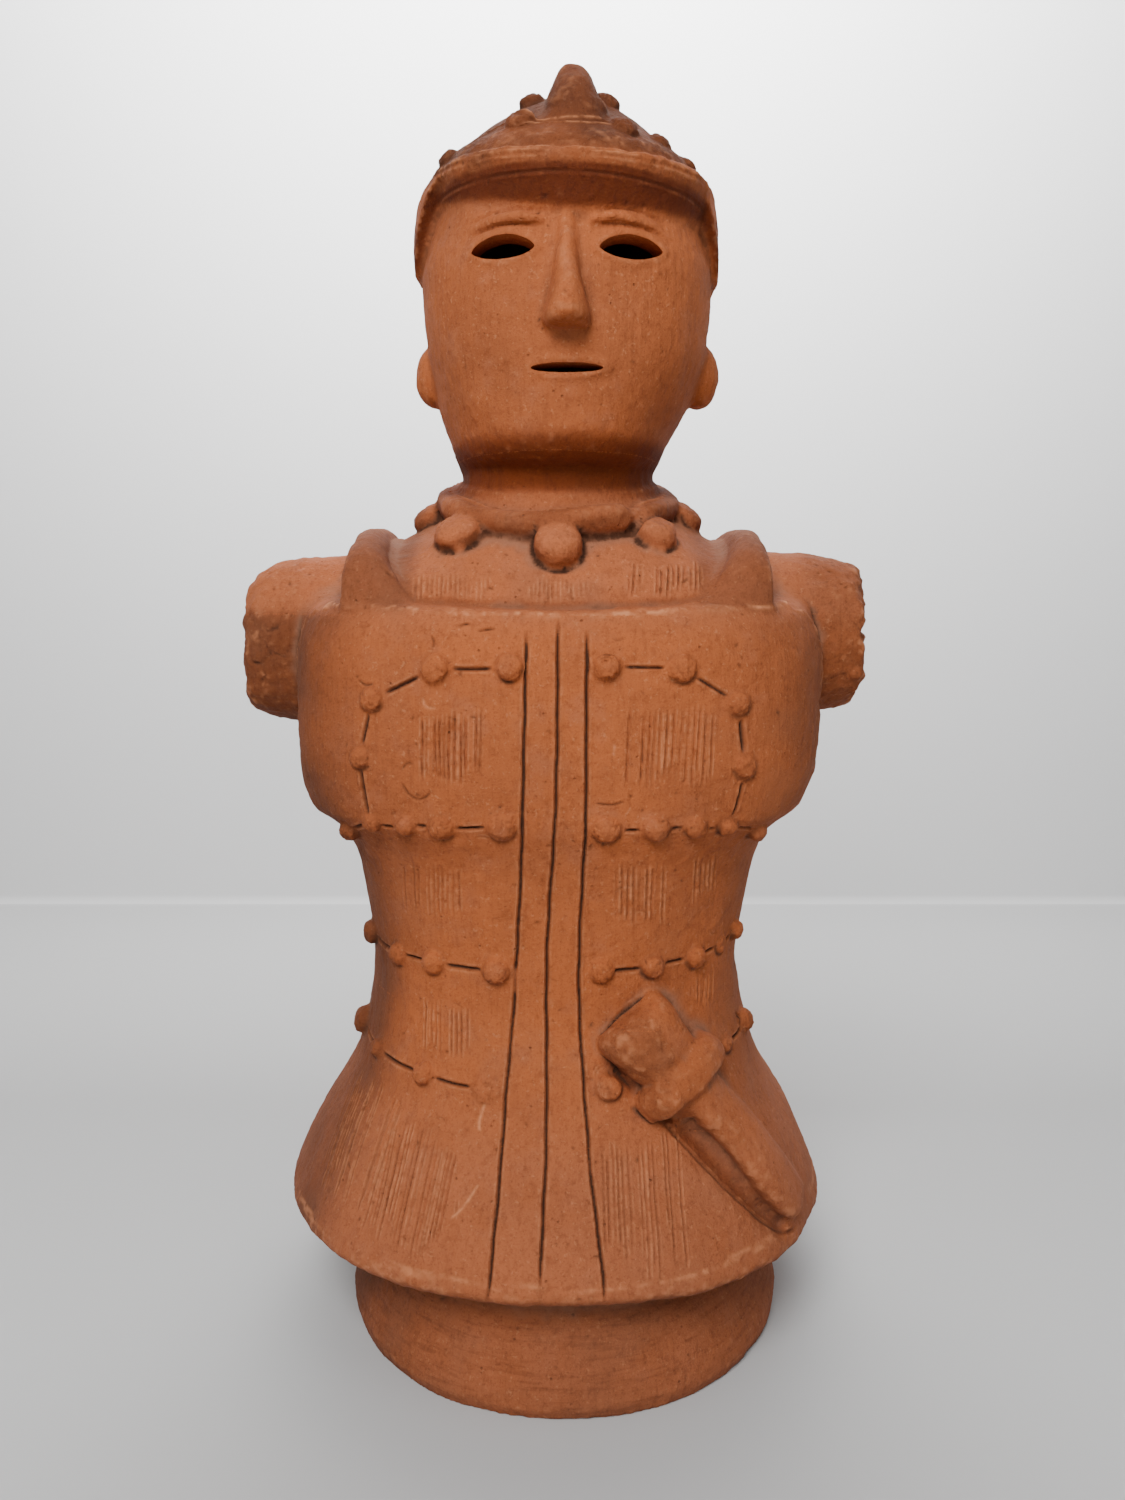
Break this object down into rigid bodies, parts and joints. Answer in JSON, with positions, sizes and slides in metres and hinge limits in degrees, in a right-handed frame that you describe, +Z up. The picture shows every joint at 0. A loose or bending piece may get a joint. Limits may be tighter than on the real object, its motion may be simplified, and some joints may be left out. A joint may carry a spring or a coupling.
{
  "type": "haniwa figure",
  "caption": "Hollow fired-clay tomb figure of a warrior in riveted cuirass and peaked helmet, arms broken, on a flared skirt and open base ring.",
  "frame": {"origin": "centre of the figure's bounding box at its foot, on the surface that the open base ring stands on", "axes": "+Z up through the figure, -Y the way the figure faces, +X towards its left hand (the sword's side)"},
  "size_m": [0.33, 0.272, 0.629],
  "materials": {
    "fired_clay": "unglazed, matt orange-brown terracotta with grey dust in the recesses and paler worn edges"
  },
  "bodies": {
    "root": {"haniwa_figure": "fired_clay"}
  },
  "joints": []
}
